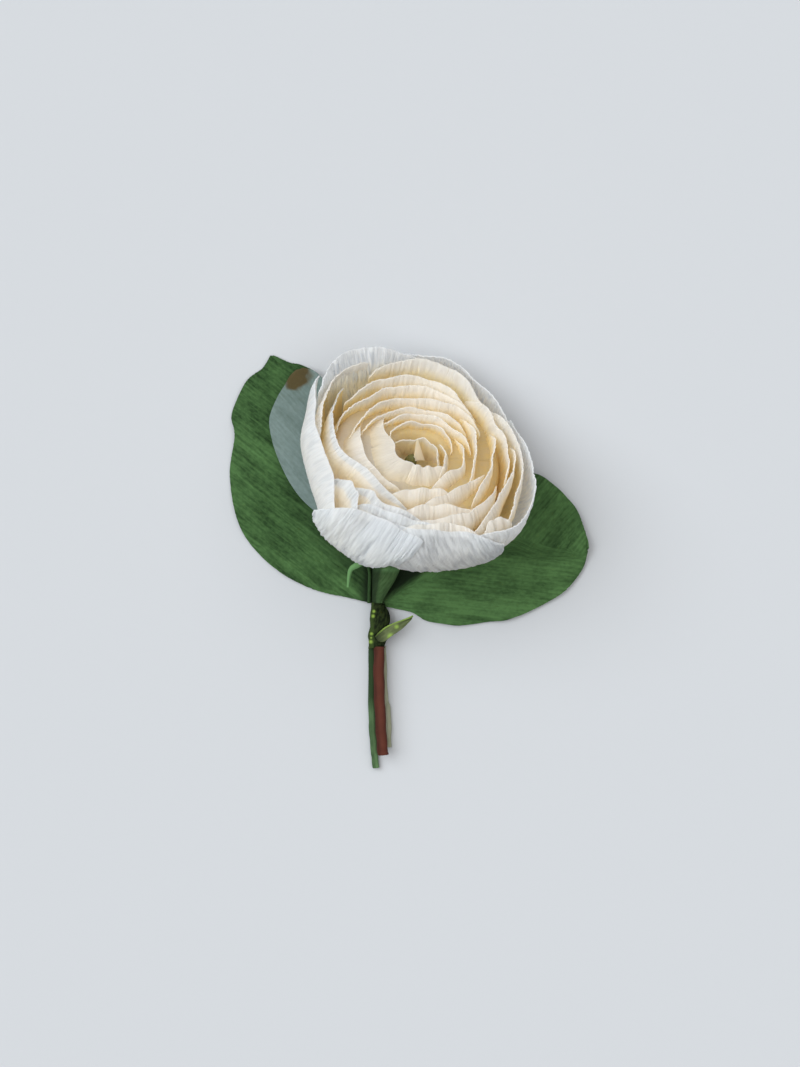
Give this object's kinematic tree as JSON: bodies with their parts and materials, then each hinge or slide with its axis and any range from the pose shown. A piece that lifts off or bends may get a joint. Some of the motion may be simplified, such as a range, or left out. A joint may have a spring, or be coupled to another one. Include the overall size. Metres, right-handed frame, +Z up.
{
  "type": "paper ranunculus flower",
  "caption": "Crepe paper ranunculus flower sprig with a layered bloom, calyx, rounded leaves, a bract and tape-bound stems, lying flat.",
  "frame": {"origin": "on the surface that the sprig lies on, under the middle of its bounding box", "axes": "+Y from the cut stems to the bloom, +X to the right seen from above, +Z up from the surface"},
  "size_m": [0.0896, 0.1044, 0.0411],
  "materials": {
    "petal_paper": "matte",
    "eye_paper": "matte",
    "calyx_paper": "matte",
    "leaf_paper": "matte",
    "grey_leaf_paper": "matte",
    "tape": "satin",
    "bract_paper": "matte",
    "green_stem_paper": "matte",
    "brown_stem_paper": "matte",
    "pale_stem_paper": "matte"
  },
  "bodies": {
    "root": {"bloom_petals": "petal_paper", "bloom_eye": "eye_paper", "calyx": "calyx_paper", "leaf_left": "leaf_paper", "leaf_right": "leaf_paper", "leaf_grey": "grey_leaf_paper", "stem_wrap": "tape", "bract": "bract_paper", "stem_green": "green_stem_paper", "stem_brown": "brown_stem_paper", "stem_pale": "pale_stem_paper"}
  },
  "joints": []
}
